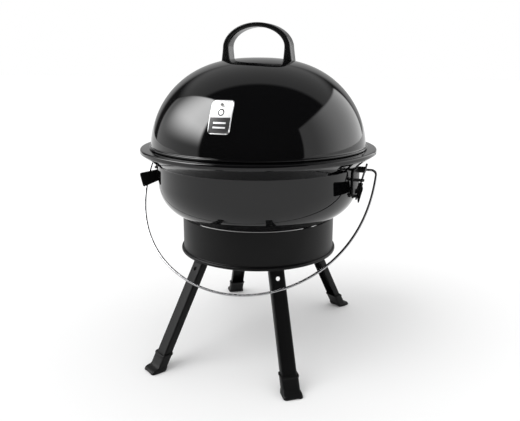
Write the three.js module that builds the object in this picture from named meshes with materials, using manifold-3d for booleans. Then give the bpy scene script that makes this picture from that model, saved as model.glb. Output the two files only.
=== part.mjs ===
// Kettle charcoal grill: an enamelled bowl with a lift-off lid, on a ring stand with four splayed legs.
// Units are millimetres and +Z is up. The origin is on the floor, under the middle of the bowl.
// The front is -Y, where the badge is, and the lid's handle runs along X, as the bail's pivots do.
import * as THREE from "three";
import { mergeVertices } from "three/addons/utils/BufferGeometryUtils.js";
import Module from "manifold-3d";

const wasm = await Module();
wasm.setup();

// ---- driving dimensions ----------------------------------------------------------------------
const gap = 0.3;               // between two pieces that touch
const sheet = 1.5;             // bowl, lid and ring sheet
const turns = 48;              // sides of every large round piece
const smallTurns = 16;         // sides of every small round piece

// bowl and its collar
const rimHeight = 310;         // floor to the top face of the rim ring
const bandHeight = 6;           // rim ring's outer band
const bandChamfer = 1.5;
const collarDepth = 22;        // rim's top face down to where the collar leaves the wall
const bowlRadius = 151;        // outside of the straight wall
const collarWidth = 25;        // wall to the outside of the rim ring
const bowlShoulder = 52;       // radius of the turn from wall to bottom
const bowlBottomRadius = 230;  // radius of the dished bottom
const shoulderDepth = 52;      // rim's top face down to where the wall starts to turn
const bottomFlatRadius = 48;   // flat middle that the bottom damper turns on

// lid
const lidOverhang = 9;         // lid's side outside the bowl's wall
const lidRise = 128;
const lidSideExponent = 2.45;  // (r / radius) ^ side + (z / rise) ^ top = 1
const lidTopExponent = 1.87;
const beadWidth = 2.3;
const beadHeight = 3;
const seatLip = 4;             // upturned inner edge of the rim ring, which centres the lid

// lid handle
const handleSpan = 108;        // outside width at its feet
const handleRise = 49;         // dome's apex to the top of the handle
const handleLeg = 14;          // width of a foot, in X
const handleBar = 6.5;         // thickness at the top of the arch
const handleShoulder = 9.5;    // and where the arch meets the legs
const handleDepth = 24;        // in Y
const handleArch = 36;         // rise of the arch, a half ellipse, above the legs
const handleSpread = 2.5;      // how far each foot stands outside the shoulder above it
const screwRadius = 2;
const screwHeadRadius = 4.5;
const screwHeadHeight = 2.5;
const handleScrewLength = 16;

// badge
const badgeWidth = 30;
const badgeHeight = 41;
const badgeCorner = 5;
const badgeAbove = 55;         // rim's top face to the badge's middle
const badgeThick = 1.4;
const badgeRivetRadius = 1.2;
const badgeRivetDrop = 5;      // badge's top edge to its rivet

// dampers
const damperThick = 1.2;
const damperHoles = 3;
const lidDamperRadius = 33;
const lidDamperHole = 8;
const lidDamperPitch = 19;     // damper's axis to its holes
const lidDamperReach = 104;    // lid's axis to the damper's, along Y
const lidPadRadius = 36.5;
const lidPadRise = 1.2;        // pad's face above the dome at its middle
const bottomDamperRadius = 44;
const bottomDamperHole = 10;
const bottomDamperPitch = 27;
const tabWidth = 12;
const tabDrop = 14;

// ring stand
const ringRadius = 116;
const ringBottom = 151;        // floor to the ring's lower edge
const lipWidth = 3.5;
const lipHeight = 5;

// legs and boots
const legAngle = 32.5;         // from the front or back, in degrees
const legWidth = 22;
const legDepth = 11;
const legSheet = 1.5;
const footRadius = 190;        // grill's axis to the outer face of a leg's lower end
const legEnd = 7;              // floor to that end
const legBendDrop = 3;         // ring's lower edge down to the leg's bend
const legRise = 36;            // ring's lower edge up to the leg's top
const legHole = 3;
const legHoleDrop = 9;         // below the bend
const legScrewRise = 19;       // ring's lower edge up to the leg's screw
const legScrewHead = 5;
const bootWall = 2.2;
const bootHeight = 24;
const toeLength = 7;
const toeHeight = 5;

// side brackets, latch wires and paddles
const pivotDrop = 28;          // rim's top face to the bail's axis
const bracketThick = 2;
const bracketFront = 28;       // bracket's edges, either side of the bail's axis
const bracketBack = 10;
const bracketDrop = 66;        // rim's top face to the bracket's lower edge
const bossRadius = 4.5;
const bossLength = 10;
const rivetRadius = 2;
const rivetHead = 4;
const rivetHeadHeight = 1.8;
const lugThick = 3;
const lugSize = 8;
const latchForward = 22;       // bail's axis to the latch wire, along Y
const latchStand = 5.5;        // bracket's outer face to the latch wire's axis
const latchTilt = 14;          // how far the latch wire's top leans outwards, in degrees
const lugSpace = 20.4;         // between the two lugs
const wireRadius = 1.4;
const paddleLength = 39;
const paddleInner = 17;        // paddle's height at its sleeve
const paddleOuter = 22;        // and at its free end
const paddleThick = 1.6;
const sleeveWall = 1.6;
const paddleDrop = 51;         // rim's top face to the paddle's middle
const leftPaddleOpen = 15;     // how far each paddle stands swung out, in degrees
const rightPaddleOpen = 12;

// bail
const bailWire = 1.8;          // wire's radius
const bailClear = 1.3;         // between the bail and the rim as it swings past
const bailDepth = 209;
const bailLean = 39;           // from hanging straight down, towards the front
const bailSideExponent = 1.95;
const bailEndExponent = 2.4;

// grates
const grateInset = 8;          // bowl's wall to the middle of the grate's hoop
const grateDrop = 26;          // rim's top face to the cooking grate
const grateRing = 2;           // radius of the rods that frame both grates
const grateRod = 1.5;
const gratePitch = 15;
const supports = 3;
const supportReach = 9;
const supportWidth = 14;
const supportThick = 2;
const charcoalRadius = 98;
const charcoalPitch = 20;

// ---- sizes that follow from them --------------------------------------------------------------
const rimRadius = bowlRadius + collarWidth;
const lidRadius = bowlRadius + lidOverhang;
const handleTop = rimHeight + lidRise + handleRise;
const legBend = ringBottom - legBendDrop;
const legTop = ringBottom + legRise;
const legScrewHeight = ringBottom + legScrewRise;
const pivotHeight = rimHeight - pivotDrop;
const bracketBottom = rimHeight - bracketDrop;
const paddleHeight = rimHeight - paddleDrop;
const grateRadius = bowlRadius - grateInset;
const grateHeight = rimHeight - grateDrop;

// ---- materials -------------------------------------------------------------------------------
const look = (name, color, roughness, metalness) =>
  new THREE.MeshStandardMaterial({ name, color, roughness, metalness });
const blackEnamel = look("black_enamel", 0x08080a, 0.08, 0);
const greyEnamel = look("grey_enamel", 0x2a2b2e, 0.12, 0.1);
const satinBlack = look("satin_black", 0x141415, 0.4, 0);
const blackPlastic = look("black_plastic", 0x101011, 0.5, 0);
const brightSteel = look("bright_steel", 0xb9bbbe, 0.25, 1);
const darkWire = look("dark_wire", 0x3a3a3c, 0.35, 1);
const aluminium = look("aluminium", 0xc8cacc, 0.35, 1);
const silver = look("silver", 0xc9c9cb, 0.3, 1);

// ---- building helpers ------------------------------------------------------------------------
const rad = THREE.MathUtils.degToRad;

// A closed geometry as a manifold-3d solid.
function toSolid(geometry) {
  const bare = geometry.index ? geometry.clone() : geometry;
  bare.deleteAttribute("normal");
  bare.deleteAttribute("uv");
  const merged = mergeVertices(bare, 1e-4);
  return new wasm.Manifold(new wasm.Mesh({
    numProp: 3,
    vertProperties: merged.attributes.position.array,
    triVerts: new Uint32Array(merged.index.array),
  }));
}

// A manifold-3d solid back as a geometry.
function toGeometry(solid) {
  const mesh = solid.getMesh();
  const geometry = new THREE.BufferGeometry();
  geometry.setAttribute("position", new THREE.BufferAttribute(mesh.vertProperties, 3));
  geometry.setIndex(new THREE.BufferAttribute(mesh.triVerts, 1));
  geometry.computeVertexNormals();
  return geometry;
}

const cut = (body, ...tools) =>
  toGeometry(tools.reduce((solid, tool) => solid.subtract(toSolid(tool)), toSolid(body)));
const join = (...bodies) =>
  toGeometry(bodies.map(toSolid).reduce((solid, other) => solid.add(other)));
const common = (a, b) => toGeometry(toSolid(a).intersect(toSolid(b)));

// A shape turned round Z. Its outline is a closed list of [radius, height], anticlockwise in that plane.
function turned(outline, sides = turns) {
  const points = outline.map(([r, z]) => new THREE.Vector2(r, z));
  if (outline[0][0] > 0 || outline.at(-1)[0] > 0) points.push(points[0].clone());
  return new THREE.LatheGeometry(points, sides).rotateX(Math.PI / 2);
}

// A rod of round section between two points.
function rod(from, to, radius, sides = smallTurns) {
  const start = new THREE.Vector3(...from);
  const along = new THREE.Vector3(...to).sub(start);
  const geometry = new THREE.CylinderGeometry(radius, radius, along.length(), sides);
  geometry.translate(0, along.length() / 2, 0);
  geometry.applyQuaternion(new THREE.Quaternion().setFromUnitVectors(
    new THREE.Vector3(0, 1, 0), along.clone().normalize()));
  return geometry.translate(start.x, start.y, start.z);
}

// A round wire along a curve.
function wire(curve, radius, steps, sides = 8) {
  const section = new THREE.Shape(Array.from({ length: sides }, (_, i) => new THREE.Vector2(
    radius * Math.cos((2 * Math.PI * i) / sides), radius * Math.sin((2 * Math.PI * i) / sides))));
  return new THREE.ExtrudeGeometry(section, { steps, extrudePath: curve });
}

const box = (x0, x1, y0, y1, z0, z1) =>
  new THREE.BoxGeometry(x1 - x0, y1 - y0, z1 - z0)
    .translate((x0 + x1) / 2, (y0 + y1) / 2, (z0 + z1) / 2);

// An outline in the XZ plane, extruded along Y about the middle.
function slabXZ(shape, depth, curveSegments = 8) {
  const geometry = new THREE.ExtrudeGeometry(shape, { depth, bevelEnabled: false, curveSegments });
  return geometry.translate(0, 0, -depth / 2).rotateX(Math.PI / 2);
}

const shapeOf = (points) => new THREE.Shape(points.map(([x, y]) => new THREE.Vector2(x, y)));

function roundedRectangle(width, height, corner) {
  const [w, h] = [width / 2 - corner, height / 2 - corner];
  const shape = new THREE.Shape();
  shape.absarc(w, h, corner, 0, Math.PI / 2);
  shape.absarc(-w, h, corner, Math.PI / 2, Math.PI);
  shape.absarc(-w, -h, corner, Math.PI, 1.5 * Math.PI);
  shape.absarc(w, -h, corner, 1.5 * Math.PI, 2 * Math.PI);
  return shape;
}

const grill = new THREE.Group();

function place(name, geometry, material, parent = grill) {
  const mesh = new THREE.Mesh(geometry, material);
  mesh.name = name;
  parent.add(mesh);
  return mesh;
}

const ringOf = (count, first = 0) =>
  Array.from({ length: count }, (_, i) => first + (360 / count) * i);

// ---- bowl ------------------------------------------------------------------------------------
// The wall's outside: straight, then a tight turn, then a dished bottom tangent to it with a flat middle.
const turnHeight = rimHeight - shoulderDepth;
const dishCentre = turnHeight + Math.sqrt(
  (bowlBottomRadius - bowlShoulder) ** 2 - (bowlRadius - bowlShoulder) ** 2);
const tangentAngle = Math.atan2(bowlRadius - bowlShoulder, dishCentre - turnHeight);
const flatAngle = Math.asin(bottomFlatRadius / bowlBottomRadius);
const bottomHeight = dishCentre - bowlBottomRadius * Math.cos(flatAngle);
const dishEnd = bowlBottomRadius * Math.sin(tangentAngle);

// Height of the bowl's underside at a radius: on the dish, or past its end on the turn up to the wall.
const bowlUnderside = (r) => (r < dishEnd
  ? dishCentre - Math.sqrt(bowlBottomRadius ** 2 - r ** 2)
  : turnHeight - Math.sqrt(bowlShoulder ** 2 - (r - bowlRadius + bowlShoulder) ** 2));

// Points down the wall at a distance inside its outer face, from the flat middle up to the wall.
function bowlCurve(inset) {
  const points = [];
  for (const t of [0, 0.33, 0.67, 1]) {
    const angle = flatAngle + t * (tangentAngle - flatAngle);
    const radius = bowlBottomRadius - inset;
    points.push([radius * Math.sin(angle), dishCentre - radius * Math.cos(angle)]);
  }
  for (const t of [0.2, 0.4, 0.6, 0.8, 1]) {
    const angle = tangentAngle + t * (Math.PI / 2 - tangentAngle);
    const radius = bowlShoulder - inset;
    points.push([
      bowlRadius - bowlShoulder + radius * Math.sin(angle), turnHeight - radius * Math.cos(angle)]);
  }
  return points;
}

const collarFoot = rimHeight - collarDepth;
const collarEdge = rimRadius - sheet - gap;          // collar's outside, just within the ring's band
const collarTop = rimHeight - sheet - gap;
const collarShoulder = rimHeight - bandHeight - 1;
const bowlOutside = [[0, bottomHeight], ...bowlCurve(0), [bowlRadius, collarFoot - 1.5],
  [bowlRadius + 1.5, collarFoot], [collarEdge, collarShoulder], [collarEdge, collarTop]];
const bowlInside = [[collarEdge - sheet, collarTop], [collarEdge - sheet, collarShoulder + 1],
  [bowlRadius + 0.6, collarFoot + 1.4], [bowlRadius - sheet, collarFoot],
  ...bowlCurve(sheet).reverse(), [0, bottomHeight + sheet]];
const bowlShell = turned([...bowlOutside, ...bowlInside]);

// ---- side brackets, their rivets, latch wires and paddles --------------------------------------
const bracketInner = bowlRadius + gap;
const bracketOuter = bracketInner + bracketThick;
const bracketTop = collarFoot - 2.5;
const latchX = bracketOuter + latchStand;
// The latch wire's distance from the middle at a height.
const latchAt = (z) => latchX + (z - paddleHeight) * Math.tan(rad(latchTilt));
const bossEnd = bracketOuter + bossLength;
// Each rivet's place on the bracket: [toward the back, height].
const rivetPlaces = [[4, bracketBottom + 8], [-12, bracketBottom + 8]];

// The side of the wall: 1 is right (+X), -1 is left.
const sides = [["right", 1], ["left", -1]];

function rivetTool(side, [y, z], radius, from, to) {
  return rod([side * from, y, z], [side * to, y, z], radius, 12);
}

const bowlHoles = ringOf(damperHoles).map((angle) => rod(
  [bottomDamperPitch * Math.sin(rad(angle)), bottomDamperPitch * Math.cos(rad(angle)), bottomHeight - 5],
  [bottomDamperPitch * Math.sin(rad(angle)), bottomDamperPitch * Math.cos(rad(angle)), bottomHeight + 5],
  bottomDamperHole));
const rivetHoles = sides.flatMap(([, side]) => rivetPlaces.map((at) =>
  rivetTool(side, at, rivetRadius + gap, bowlRadius - 12, bowlRadius + 3)));
const damperPin = 3;
place("bowl", cut(bowlShell, ...bowlHoles, ...rivetHoles,
  rod([0, 0, bottomHeight - 5], [0, 0, bottomHeight + 5], damperPin + gap)), greyEnamel);

const notchWidth = 5;
const rimRing = turned([
  [rimRadius - sheet, rimHeight - bandHeight], [rimRadius, rimHeight - bandHeight],
  [rimRadius, rimHeight - bandChamfer], [rimRadius - bandChamfer, rimHeight],
  [lidRadius - sheet - 0.7, rimHeight], [lidRadius - sheet - 1.5, rimHeight + seatLip],
  [lidRadius - 2 * sheet - 1.5, rimHeight + seatLip], [lidRadius - 2 * sheet - 1.5, rimHeight - sheet],
  [rimRadius - sheet, rimHeight - sheet]]);
place("rim_ring", cut(rimRing, ...sides.map(([, side]) => box(
  Math.min(side * (rimRadius - 2 * sheet), side * (rimRadius + 2)),
  Math.max(side * (rimRadius - 2 * sheet), side * (rimRadius + 2)),
  -notchWidth / 2, notchWidth / 2, rimHeight - bandHeight - 1, rimHeight - 4))), greyEnamel);

for (const [name, side] of sides) {
  const strip = turned([[bracketInner, bracketBottom], [bracketOuter, bracketBottom],
    [bracketOuter, bracketTop], [bracketInner, bracketTop]]);
  const x0 = Math.min(side * 100, side * 200);
  const plate = common(strip, box(x0, x0 + 100, -bracketFront, bracketBack, bracketBottom, bracketTop));
  const boss = rod([side * (bracketInner + 0.6), 0, pivotHeight], [side * bossEnd, 0, pivotHeight],
    bossRadius);
  const lugs = [paddleHeight + lugSpace / 2, paddleHeight - lugSpace / 2 - lugThick];
  const lugBlocks = lugs.map((z) => box(
    Math.min(side * (bracketInner - 1), side * (latchAt(z) + lugSize / 2)),
    Math.max(side * (bracketInner - 1), side * (latchAt(z) + lugSize / 2)),
    -latchForward - lugSize / 2, -latchForward + lugSize / 2, z, z + lugThick));
  const wallSpace = turned([[0, bracketBottom - 20], [bracketInner, bracketBottom - 20],
    [bracketInner, rimHeight], [0, rimHeight]]);
  place(`side_bracket_${name}`, cut(cut(join(plate, boss, ...lugBlocks), wallSpace),
    rod([side * (bracketInner + 1.5), 0, pivotHeight], [side * (bossEnd + 1), 0, pivotHeight],
      bailWire + gap, 12),
    rod([side * latchAt(bracketBottom - 5), -latchForward, bracketBottom - 5],
      [side * latchAt(rimHeight), -latchForward, rimHeight], wireRadius + gap, 12),
    ...rivetPlaces.map((at) => rivetTool(side, at, rivetRadius + gap, bowlRadius - 12, bowlRadius + 12))),
    satinBlack);

  rivetPlaces.forEach((at, i) => {
    const face = Math.sqrt(bracketOuter ** 2 - at[0] ** 2) + gap;
    place(`bracket_rivet_${name}_${i + 1}`, join(
      rivetTool(side, at, rivetRadius, face - 7, face + 0.5),
      rivetTool(side, at, rivetHead, face, face + rivetHeadHeight)), brightSteel);
  });

  // The latch wire: up through both lugs and the paddle's sleeve, then out and up towards the rim.
  const top = lugs[0] + lugThick + 8;
  const route = new THREE.CatmullRomCurve3([
    ...[lugs[1] - 4, lugs[1] + 6, paddleHeight, lugs[0] - 4, top].map((z) => [latchAt(z), z]),
    [latchAt(top) + 2.2, top + 7], [latchAt(top) + 4, top + 15],
  ].map(([x, z]) => new THREE.Vector3(side * x, -latchForward, z)), false, "centripetal");
  place(`latch_wire_${name}`, wire(route, wireRadius, 22), darkWire);
}

// A paddle in the plane of Y and Z, pointing to the front from its sleeve at the group's origin.
function paddleGeometry() {
  const reach = sleeveWall + wireRadius + gap;
  const [inner, outer] = [paddleInner / 2, paddleOuter / 2];
  const plate = shapeOf([[0, -inner], [paddleLength, -outer], [paddleLength, outer - 3],
    [paddleLength - 3, outer], [0, inner]]);
  const flat = slabXZ(plate, paddleThick).rotateZ(-Math.PI / 2);
  const half = inner - 0.5;
  return cut(join(flat, rod([0, 0, -half], [0, 0, half], reach)),
    rod([0, 0, -paddleOuter], [0, 0, paddleOuter], wireRadius + gap, 12));
}

for (const [name, side] of sides) {
  const group = new THREE.Group();
  group.position.set(side * latchX, -latchForward, paddleHeight);
  group.rotation.order = "YZX";
  group.rotation.set(0, side * rad(latchTilt), rad(side < 0 ? -leftPaddleOpen : rightPaddleOpen));
  grill.add(group);
  place(`latch_paddle_${name}`, paddleGeometry(), satinBlack, group);
}

// ---- bail ------------------------------------------------------------------------------------
// Straight ends along X, then (x / half width) ^ side + (drop / depth) ^ end = 1 in the leaning plane.
const bailHalf = rimRadius + bailWire + bailClear;
const bailInner = bracketInner + 3;
const bailHangs = [];
for (const drop of [26, 50, 80, 110, 137, 160, 178, 191, 200, 206]) {
  const x = bailHalf * (1 - (drop / bailDepth) ** bailEndExponent) ** (1 / bailSideExponent);
  bailHangs.push([x, drop]);
}
const bailHalfRoute = [[bailInner, 0], [bailInner + 10, 0], [bailHalf - 12, 0], [bailHalf - 3.5, 2.6],
  [bailHalf, 12], ...bailHangs];
const bailPoints = [...bailHalfRoute, [0, bailDepth],
  ...bailHalfRoute.map(([x, drop]) => [-x, drop]).reverse()]
  .map(([x, drop]) => new THREE.Vector3(
    x, -drop * Math.sin(rad(bailLean)), pivotHeight - drop * Math.cos(rad(bailLean))));
place("bail", wire(new THREE.CatmullRomCurve3(bailPoints, false, "centripetal"), bailWire, 68), brightSteel);

// ---- lid -------------------------------------------------------------------------------------
const lidBase = rimHeight + gap;

// The dome's height above the lid's base at a radius, for a dome set in by a distance.
function domeHeight(radius, inset = 0) {
  const share = Math.min(radius / (lidRadius - inset), 1) ** lidSideExponent;
  return (lidRise - inset) * (1 - share) ** (1 / lidTopExponent);
}

// Points of the dome from its apex to its base, closer together where it turns down.
function domeCurve(inset, steps = 12) {
  return Array.from({ length: steps }, (_, i) => {
    const t = (Math.PI / 2) * (i / (steps - 1)) ** 0.9;
    return [(lidRadius - inset) * Math.sin(t) ** (2 / lidSideExponent),
      lidBase + (lidRise - inset) * Math.cos(t) ** (2 / lidTopExponent)];
  }).map(([r, z], i) => (i === steps - 1 ? [lidRadius - inset, lidBase] : [r, z]));
}

function domeSolid(inset, base) {
  const curve = domeCurve(inset);
  curve[curve.length - 1][1] = base;
  return turned([[0, base], ...curve.reverse().map(([r, z], i) => (i === curve.length - 1 ? [0, z] : [r, z]))]);
}

const domeOuter = domeSolid(0, lidBase);
const bead = turned([[lidRadius - 1, lidBase], [lidRadius + beadWidth, lidBase],
  [lidRadius + beadWidth, lidBase + beadHeight - 1], [lidRadius + beadWidth - 1, lidBase + beadHeight],
  [lidRadius - 1, lidBase + beadHeight + 1.5]]);

// The lid damper's own frame: its axis leaves the dome at right angles, at the back.
const damperZ = lidBase + domeHeight(lidDamperReach);
const damperSlope = Math.atan2(domeHeight(lidDamperReach - 1) - domeHeight(lidDamperReach + 1), 2);
const damperFrame = new THREE.Matrix4().makeTranslation(0, lidDamperReach, damperZ)
  .multiply(new THREE.Matrix4().makeRotationX(-damperSlope));
const inDamperFrame = (geometry) => geometry.applyMatrix4(damperFrame);
const damperHoleRods = (radius, pitch, low, high) => ringOf(damperHoles).map((angle) => rod(
  [pitch * Math.sin(rad(angle)), pitch * Math.cos(rad(angle)), low],
  [pitch * Math.sin(rad(angle)), pitch * Math.cos(rad(angle)), high], radius));

const handleFoot = handleSpan / 2 - handleLeg / 2;
const footHeight = lidBase + domeHeight(handleFoot);
const domeSag = lidRise / 150;                                // clears the dome's inside between its facets
const handleScrewHoles = [1, -1].map((s) =>
  rod([s * handleFoot, 0, footHeight - 15], [s * handleFoot, 0, footHeight + 15], screwRadius + gap, 12));
const badgeMiddle = rimHeight + badgeAbove;
function radiusAt(height, inset = 0) {
  const share = (height / (lidRise - inset)) ** lidTopExponent;
  return (lidRadius - inset) * (1 - share) ** (1 / lidSideExponent);
}
const badgeRivetZ = badgeMiddle + badgeHeight / 2 - badgeRivetDrop;
const badgeRivetY = -radiusAt(badgeRivetZ - lidBase);
const badgeRivetHole = rod([0, badgeRivetY - 8, badgeRivetZ], [0, badgeRivetY + 12, badgeRivetZ],
  badgeRivetRadius + gap, 12);

const padDepth = 6;
const lidWithPad = join(domeOuter, bead, inDamperFrame(
  rod([0, 0, -padDepth], [0, 0, lidPadRise], lidPadRadius, 32)));
const lidHollow = domeSolid(sheet, lidBase - 2);
const padHollow = inDamperFrame(rod([0, 0, -padDepth - 20], [0, 0, lidPadRise - sheet],
  lidPadRadius - sheet, 32));
place("lid", cut(lidWithPad, lidHollow, padHollow, ...handleScrewHoles, badgeRivetHole,
  ...damperHoleRods(lidDamperHole, lidDamperPitch, -12, 12).map(inDamperFrame),
  inDamperFrame(rod([0, 0, -12], [0, 0, 12], damperPin + gap))), blackEnamel);

// Handle: an upright loop, a half ellipse on two spreading legs, whose feet are cut to sit on the dome.
function loopOutline(halfFoot, halfShoulder, rise, base) {
  const shape = new THREE.Shape();
  shape.moveTo(-halfFoot, base);
  shape.lineTo(-halfShoulder, handleTop - handleArch);
  shape.absellipse(0, handleTop - handleArch, halfShoulder, rise, Math.PI, 0, true);
  shape.lineTo(halfFoot, base);
  shape.closePath();
  return shape;
}

const handleBase = lidBase + lidRise - 20;
const archHalf = handleSpan / 2 - handleSpread;
const handleBody = slabXZ(loopOutline(handleSpan / 2, archHalf, handleArch, handleBase), handleDepth, 24);
const handleWindow = slabXZ(loopOutline(handleSpan / 2 - handleLeg, archHalf - handleShoulder,
  handleArch - handleBar, handleBase - 5), handleDepth + 4, 24);
const screwTop = footHeight + handleScrewLength;
place("lid_handle", cut(handleBody, handleWindow, domeSolid(-gap, lidBase - 5),
  ...[1, -1].map((s) => rod([s * handleFoot, 0, footHeight - 15], [s * handleFoot, 0, screwTop + gap],
    screwRadius + gap, 12))), blackPlastic);

for (const [name, side] of sides) {
  const x = side * handleFoot;
  const under = lidBase + domeHeight(handleFoot + screwHeadRadius, sheet) - gap - domeSag;
  place(`handle_screw_${name}`, join(
    rod([x, 0, under - screwHeadHeight], [x, 0, under], screwHeadRadius, 12),
    rod([x, 0, under - 1], [x, 0, screwTop], screwRadius, 12)), brightSteel);
}

// Badge: a rounded plate that follows the dome's front, with a rivet near its top edge.
const badgePlan = slabXZ(roundedRectangle(badgeWidth, badgeHeight, badgeCorner), 60, 5)
  .translate(0, badgeRivetY, badgeMiddle);
const badgeBlank = toGeometry(toSolid(domeSolid(-gap - badgeThick, lidBase))
  .subtract(toSolid(domeSolid(-gap, lidBase - 1))).intersect(toSolid(badgePlan)));
place("badge", cut(badgeBlank, badgeRivetHole), silver);
const badgeRivetHead = badgeRivetRadius * 2;
const rivetFace = -radiusAt(badgeRivetZ - lidBase - badgeRivetHead, -gap - badgeThick) - gap;
place("badge_rivet", join(
  rod([0, rivetFace - 0.4, badgeRivetZ], [0, badgeRivetY + 4, badgeRivetZ], badgeRivetRadius, 12),
  rod([0, rivetFace - 0.8, badgeRivetZ], [0, rivetFace, badgeRivetZ], badgeRivetHead, 12)), brightSteel);

// Lid damper: a disc with matching holes and an upright tab, on a rivet through the pad.
const damperFloor = lidPadRise + gap;
const damperDisc = join(rod([0, 0, damperFloor], [0, 0, damperFloor + damperThick], lidDamperRadius, 32),
  box(-tabWidth / 2, tabWidth / 2, lidDamperRadius - 6, lidDamperRadius - 6 + damperThick,
    damperFloor + 0.5, damperFloor + tabDrop));
place("lid_damper", inDamperFrame(cut(damperDisc, rod([0, 0, 0], [0, 0, 9], damperPin + gap),
  ...damperHoleRods(lidDamperHole, lidDamperPitch, 0, 9).map((hole) => hole.rotateZ(rad(180 / damperHoles))))),
  aluminium);
place("lid_damper_rivet", inDamperFrame(join(
  rod([0, 0, -3], [0, 0, damperFloor + damperThick + gap + 0.5], damperPin),
  rod([0, 0, damperFloor + damperThick + gap], [0, 0, damperFloor + damperThick + gap + 2], damperPin * 2))),
  brightSteel);

// ---- bottom damper ---------------------------------------------------------------------------
const bottomFace = bottomHeight - gap;
const bottomDisc = join(
  rod([0, 0, bottomFace - damperThick], [0, 0, bottomFace], bottomDamperRadius, 32),
  box(-tabWidth / 2, tabWidth / 2, -bottomDamperRadius - 14, -bottomDamperRadius + 4,
    bottomFace - damperThick, bottomFace),
  box(-tabWidth / 2, tabWidth / 2, -bottomDamperRadius - 14, -bottomDamperRadius - 14 + damperThick,
    bottomFace - tabDrop, bottomFace));
place("bottom_damper", cut(bottomDisc, rod([0, 0, bottomFace - 20], [0, 0, bottomFace + 20], damperPin + gap),
  ...ringOf(damperHoles, 180 / damperHoles).map((angle) => rod(
    [bottomDamperPitch * Math.sin(rad(angle)), bottomDamperPitch * Math.cos(rad(angle)), bottomFace - 20],
    [bottomDamperPitch * Math.sin(rad(angle)), bottomDamperPitch * Math.cos(rad(angle)), bottomFace + 20],
    bottomDamperHole))), aluminium);
place("bottom_damper_rivet", join(
  rod([0, 0, bottomFace - damperThick - gap - 2], [0, 0, bottomFace - damperThick - gap], damperPin * 2),
  rod([0, 0, bottomFace - damperThick - gap - 0.5], [0, 0, bottomHeight + sheet + 1], damperPin)), brightSteel);

// ---- ring stand, legs, boots and leg screws ----------------------------------------------------
const ringInner = ringRadius - sheet;
const ringTop = bowlUnderside(ringInner) - gap;
const legBearings = [["front_left", -90 - legAngle], ["front_right", -90 + legAngle],
  ["back_right", 90 - legAngle], ["back_left", 90 + legAngle]];
const facet = Math.cos(Math.PI / turns);             // a facet's middle lies this much nearer the axis
// Outer face of a leg's upright end, whose corners just clear the ring's inside.
const legFace = Math.sqrt((ringInner * facet - gap) ** 2 - (legWidth / 2) ** 2);
const legSlope = (footRadius - legFace) / (legBend - legEnd);
const legSlant = Math.hypot(1, legSlope);

const ringWall = turned([[ringInner, ringBottom], [ringRadius + lipWidth - 1, ringBottom],
  [ringRadius + lipWidth, ringBottom + 1.5], [ringRadius + lipWidth - 1, ringBottom + lipHeight - 1],
  [ringRadius, ringBottom + lipHeight], [ringRadius, ringTop], [ringInner, ringTop]]);
place("ring_stand", cut(ringWall, ...legBearings.map(([, bearing]) =>
  rod([ringInner - 5, 0, legScrewHeight], [ringRadius + 5, 0, legScrewHeight], screwRadius + gap, 12)
    .rotateZ(rad(bearing)))), satinBlack);

// The outer face of a leg, in the upright plane through the grill's axis, and faces at a depth behind it.
const faceAt = (height, depth = 0) => legFace + (legBend - height) * legSlope - depth * legSlant;

function legStrip(depth) {
  const bendDrop = (depth * (legSlant - 1)) / legSlope;
  return shapeOf([[legFace, legTop], [legFace - depth, legTop], [legFace - depth, legBend - bendDrop],
    [faceAt(legEnd, depth), legEnd], [faceAt(legEnd), legEnd], [legFace, legBend]]);
}

function legGeometry() {
  const web = slabXZ(legStrip(legSheet), legWidth);
  const flanges = [-1, 1].map((s) =>
    slabXZ(legStrip(legDepth), legSheet).translate(0, s * (legWidth - legSheet) / 2, 0));
  const holeZ = legBend - legHoleDrop;
  return cut(join(web, ...flanges),
    rod([legFace - legDepth - 5, 0, holeZ], [legFace + 30, 0, holeZ], legHole, 12),
    rod([legFace - legDepth - 5, 0, legScrewHeight], [legFace + 5, 0, legScrewHeight], screwRadius + gap, 12));
}

// A boot: a cap over the leg's lower end, with a toe that points outwards and a flat sole on the floor.
function bootGeometry() {
  const side = (bootWall + gap) * legSlant;
  const outline = shapeOf([[faceAt(0, legDepth) - side, 0], [faceAt(toeHeight) + toeLength, 0],
    [faceAt(toeHeight) + toeLength, toeHeight], [faceAt(toeHeight * 2.5) + side, toeHeight * 2.5],
    [faceAt(bootHeight) + side, bootHeight], [faceAt(bootHeight, legDepth) - side, bootHeight]]);
  const spare = gap * legSlant;
  const pocket = shapeOf([[faceAt(legEnd - gap, legDepth) - spare, legEnd - gap],
    [faceAt(legEnd - gap) + spare, legEnd - gap], [faceAt(bootHeight + 5) + spare, bootHeight + 5],
    [faceAt(bootHeight + 5, legDepth) - spare, bootHeight + 5]]);
  return cut(slabXZ(outline, legWidth + 2 * (bootWall + gap)), slabXZ(pocket, legWidth + 2 * gap));
}

for (const [name, bearing] of legBearings) {
  const group = new THREE.Group();
  group.rotation.z = rad(bearing);
  grill.add(group);
  place(`leg_${name}`, legGeometry(), satinBlack, group);
  place(`foot_${name}`, bootGeometry(), blackPlastic, group);
  const headFace = legFace - legSheet - gap;
  place(`leg_screw_${name}`, join(
    rod([headFace - screwHeadHeight, 0, legScrewHeight], [headFace, 0, legScrewHeight], legScrewHead, 12),
    rod([headFace - 1, 0, legScrewHeight], [ringRadius - gap, 0, legScrewHeight], screwRadius, 12)),
    brightSteel, group);
}

// ---- grates ----------------------------------------------------------------------------------
function hoop(radius, height, thickness) {
  const section = ringOf(6).map((angle) =>
    [radius + thickness * Math.cos(rad(angle)), height + thickness * Math.sin(rad(angle))]);
  return turned(section);
}

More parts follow.
